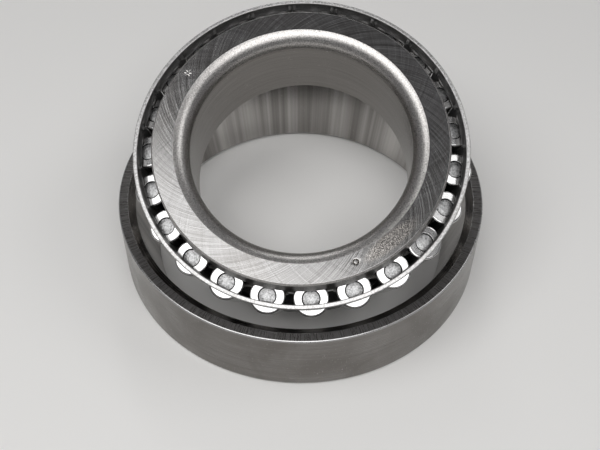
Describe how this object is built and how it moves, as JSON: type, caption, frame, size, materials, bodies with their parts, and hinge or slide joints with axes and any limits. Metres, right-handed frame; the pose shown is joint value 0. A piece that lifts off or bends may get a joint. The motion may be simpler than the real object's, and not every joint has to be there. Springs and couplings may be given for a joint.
{
  "type": "tapered roller bearing",
  "caption": "Separable tapered roller bearing: plain outer ring with a leaning inner ring, stamped cage and tapered rollers.",
  "frame": {"origin": "centre of the outer ring's (cup's) back face, which the bearing stands on", "axes": "+Z along the cup's axis towards its open front face; +X is the axis about which the cone assembly leans; the cone leans towards -Y"},
  "size_m": [0.0976, 0.0976, 0.0522],
  "materials": {
    "ring_steel": "ground, hardened bearing steel",
    "cup_steel": "ground, hardened bearing steel",
    "roller_steel": "finely ground and polished steel",
    "cage_steel": "pressed sheet steel, dull phosphate grey"
  },
  "bodies": {
    "cup": {"cup": "cup_steel"},
    "cage": {"cage": "cage_steel"},
    "cone": {"cone": "ring_steel"},
    "roller_01": {"roller_01": "roller_steel"},
    "roller_02": {"roller_02": "roller_steel"},
    "roller_03": {"roller_03": "roller_steel"},
    "roller_04": {"roller_04": "roller_steel"},
    "roller_05": {"roller_05": "roller_steel"},
    "roller_06": {"roller_06": "roller_steel"},
    "roller_07": {"roller_07": "roller_steel"},
    "roller_08": {"roller_08": "roller_steel"},
    "roller_09": {"roller_09": "roller_steel"},
    "roller_10": {"roller_10": "roller_steel"},
    "roller_11": {"roller_11": "roller_steel"},
    "roller_12": {"roller_12": "roller_steel"},
    "roller_13": {"roller_13": "roller_steel"},
    "roller_14": {"roller_14": "roller_steel"},
    "roller_15": {"roller_15": "roller_steel"},
    "roller_16": {"roller_16": "roller_steel"},
    "roller_17": {"roller_17": "roller_steel"},
    "roller_18": {"roller_18": "roller_steel"},
    "roller_19": {"roller_19": "roller_steel"},
    "roller_20": {"roller_20": "roller_steel"},
    "roller_21": {"roller_21": "roller_steel"},
    "roller_22": {"roller_22": "roller_steel"},
    "roller_23": {"roller_23": "roller_steel"}
  },
  "joints": [
    {"name": "cone_lean", "type": "hinge", "parent": "cup", "child": "cage", "pos_m": [0, -0.04458, 0.02695], "axis": [1, 0, 0], "range_deg": [-19.5, 0]},
    {"name": "cone_spin", "type": "hinge", "parent": "cage", "child": "cone", "pos_m": [0, 0.00233, 0.02802], "axis": [0, -0.3338, 0.9426], "continuous": true},
    {"name": "roller_01_spin", "type": "hinge", "parent": "cage", "child": "roller_01", "pos_m": [-0.00409, -0.03268, 0.01416], "axis": [-0.0252, -0.5433, 0.8392], "continuous": true},
    {"name": "roller_02_spin", "type": "hinge", "parent": "cage", "child": "roller_02", "pos_m": [0.00622, -0.0324, 0.01426], "axis": [0.0383, -0.5416, 0.8398], "continuous": true},
    {"name": "roller_03_spin", "type": "hinge", "parent": "cage", "child": "roller_03", "pos_m": [0.01606, -0.02951, 0.01528], "axis": [0.099, -0.5238, 0.8461], "continuous": true},
    {"name": "roller_04_spin", "type": "hinge", "parent": "cage", "child": "roller_04", "pos_m": [0.02471, -0.02423, 0.01715], "axis": [0.1523, -0.4912, 0.8576], "continuous": true},
    {"name": "roller_05_spin", "type": "hinge", "parent": "cage", "child": "roller_05", "pos_m": [0.03153, -0.01695, 0.01973], "axis": [0.1944, -0.4463, 0.8735], "continuous": true},
    {"name": "roller_06_spin", "type": "hinge", "parent": "cage", "child": "roller_06", "pos_m": [0.03601, -0.0082, 0.02283], "axis": [0.222, -0.3923, 0.8926], "continuous": true},
    {"name": "roller_07_spin", "type": "hinge", "parent": "cage", "child": "roller_07", "pos_m": [0.03782, 0.00137, 0.02621], "axis": [0.2332, -0.3334, 0.9135], "continuous": true},
    {"name": "roller_08_spin", "type": "hinge", "parent": "cage", "child": "roller_08", "pos_m": [0.03682, 0.01104, 0.02964], "axis": [0.227, -0.2737, 0.9346], "continuous": true},
    {"name": "roller_09_spin", "type": "hinge", "parent": "cage", "child": "roller_09", "pos_m": [0.0331, 0.0201, 0.03285], "axis": [0.204, -0.2179, 0.9544], "continuous": true},
    {"name": "roller_10_spin", "type": "hinge", "parent": "cage", "child": "roller_10", "pos_m": [0.02692, 0.02787, 0.0356], "axis": [0.1659, -0.17, 0.9714], "continuous": true},
    {"name": "roller_11_spin", "type": "hinge", "parent": "cage", "child": "roller_11", "pos_m": [0.01874, 0.03379, 0.0377], "axis": [0.1155, -0.1335, 0.9843], "continuous": true},
    {"name": "roller_12_spin", "type": "hinge", "parent": "cage", "child": "roller_12", "pos_m": [0.00917, 0.03741, 0.03898], "axis": [0.0566, -0.1112, 0.9922], "continuous": true},
    {"name": "roller_13_spin", "type": "hinge", "parent": "cage", "child": "roller_13", "pos_m": [-0.00107, 0.03845, 0.03935], "axis": [-0.0066, -0.1047, 0.9945], "continuous": true},
    {"name": "roller_14_spin", "type": "hinge", "parent": "cage", "child": "roller_14", "pos_m": [-0.01124, 0.03686, 0.03878], "axis": [-0.0693, -0.1146, 0.991], "continuous": true},
    {"name": "roller_15_spin", "type": "hinge", "parent": "cage", "child": "roller_15", "pos_m": [-0.02057, 0.03274, 0.03732], "axis": [-0.1268, -0.14, 0.982], "continuous": true},
    {"name": "roller_16_spin", "type": "hinge", "parent": "cage", "child": "roller_16", "pos_m": [-0.02838, 0.02639, 0.03508], "axis": [-0.175, -0.1791, 0.9681], "continuous": true},
    {"name": "roller_17_spin", "type": "hinge", "parent": "cage", "child": "roller_17", "pos_m": [-0.03408, 0.0183, 0.03221], "axis": [-0.2101, -0.229, 0.9505], "continuous": true},
    {"name": "roller_18_spin", "type": "hinge", "parent": "cage", "child": "roller_18", "pos_m": [-0.03726, 0.00906, 0.02894], "axis": [-0.2297, -0.286, 0.9303], "continuous": true},
    {"name": "roller_19_spin", "type": "hinge", "parent": "cage", "child": "roller_19", "pos_m": [-0.03767, -0.00065, 0.0255], "axis": [-0.2322, -0.3458, 0.9091], "continuous": true},
    {"name": "roller_20_spin", "type": "hinge", "parent": "cage", "child": "roller_20", "pos_m": [-0.03529, -0.0101, 0.02215], "axis": [-0.2176, -0.4041, 0.8885], "continuous": true},
    {"name": "roller_21_spin", "type": "hinge", "parent": "cage", "child": "roller_21", "pos_m": [-0.03029, -0.0186, 0.01914], "axis": [-0.1867, -0.4565, 0.8699], "continuous": true},
    {"name": "roller_22_spin", "type": "hinge", "parent": "cage", "child": "roller_22", "pos_m": [-0.02304, -0.02551, 0.0167], "axis": [-0.1421, -0.4991, 0.8548], "continuous": true},
    {"name": "roller_23_spin", "type": "hinge", "parent": "cage", "child": "roller_23", "pos_m": [-0.01409, -0.03032, 0.01499], "axis": [-0.0869, -0.5287, 0.8443], "continuous": true}
  ],
  "couplings": [
    {"joint": "roller_01_spin", "follows": "cone_spin", "ratio": -7.9005},
    {"joint": "roller_02_spin", "follows": "cone_spin", "ratio": -7.9005},
    {"joint": "roller_03_spin", "follows": "cone_spin", "ratio": -7.9005},
    {"joint": "roller_04_spin", "follows": "cone_spin", "ratio": -7.9005},
    {"joint": "roller_05_spin", "follows": "cone_spin", "ratio": -7.9005},
    {"joint": "roller_06_spin", "follows": "cone_spin", "ratio": -7.9005},
    {"joint": "roller_07_spin", "follows": "cone_spin", "ratio": -7.9005},
    {"joint": "roller_08_spin", "follows": "cone_spin", "ratio": -7.9005},
    {"joint": "roller_09_spin", "follows": "cone_spin", "ratio": -7.9005},
    {"joint": "roller_10_spin", "follows": "cone_spin", "ratio": -7.9005},
    {"joint": "roller_11_spin", "follows": "cone_spin", "ratio": -7.9005},
    {"joint": "roller_12_spin", "follows": "cone_spin", "ratio": -7.9005},
    {"joint": "roller_13_spin", "follows": "cone_spin", "ratio": -7.9005},
    {"joint": "roller_14_spin", "follows": "cone_spin", "ratio": -7.9005},
    {"joint": "roller_15_spin", "follows": "cone_spin", "ratio": -7.9005},
    {"joint": "roller_16_spin", "follows": "cone_spin", "ratio": -7.9005},
    {"joint": "roller_17_spin", "follows": "cone_spin", "ratio": -7.9005},
    {"joint": "roller_18_spin", "follows": "cone_spin", "ratio": -7.9005},
    {"joint": "roller_19_spin", "follows": "cone_spin", "ratio": -7.9005},
    {"joint": "roller_20_spin", "follows": "cone_spin", "ratio": -7.9005},
    {"joint": "roller_21_spin", "follows": "cone_spin", "ratio": -7.9005},
    {"joint": "roller_22_spin", "follows": "cone_spin", "ratio": -7.9005},
    {"joint": "roller_23_spin", "follows": "cone_spin", "ratio": -7.9005}
  ]
}
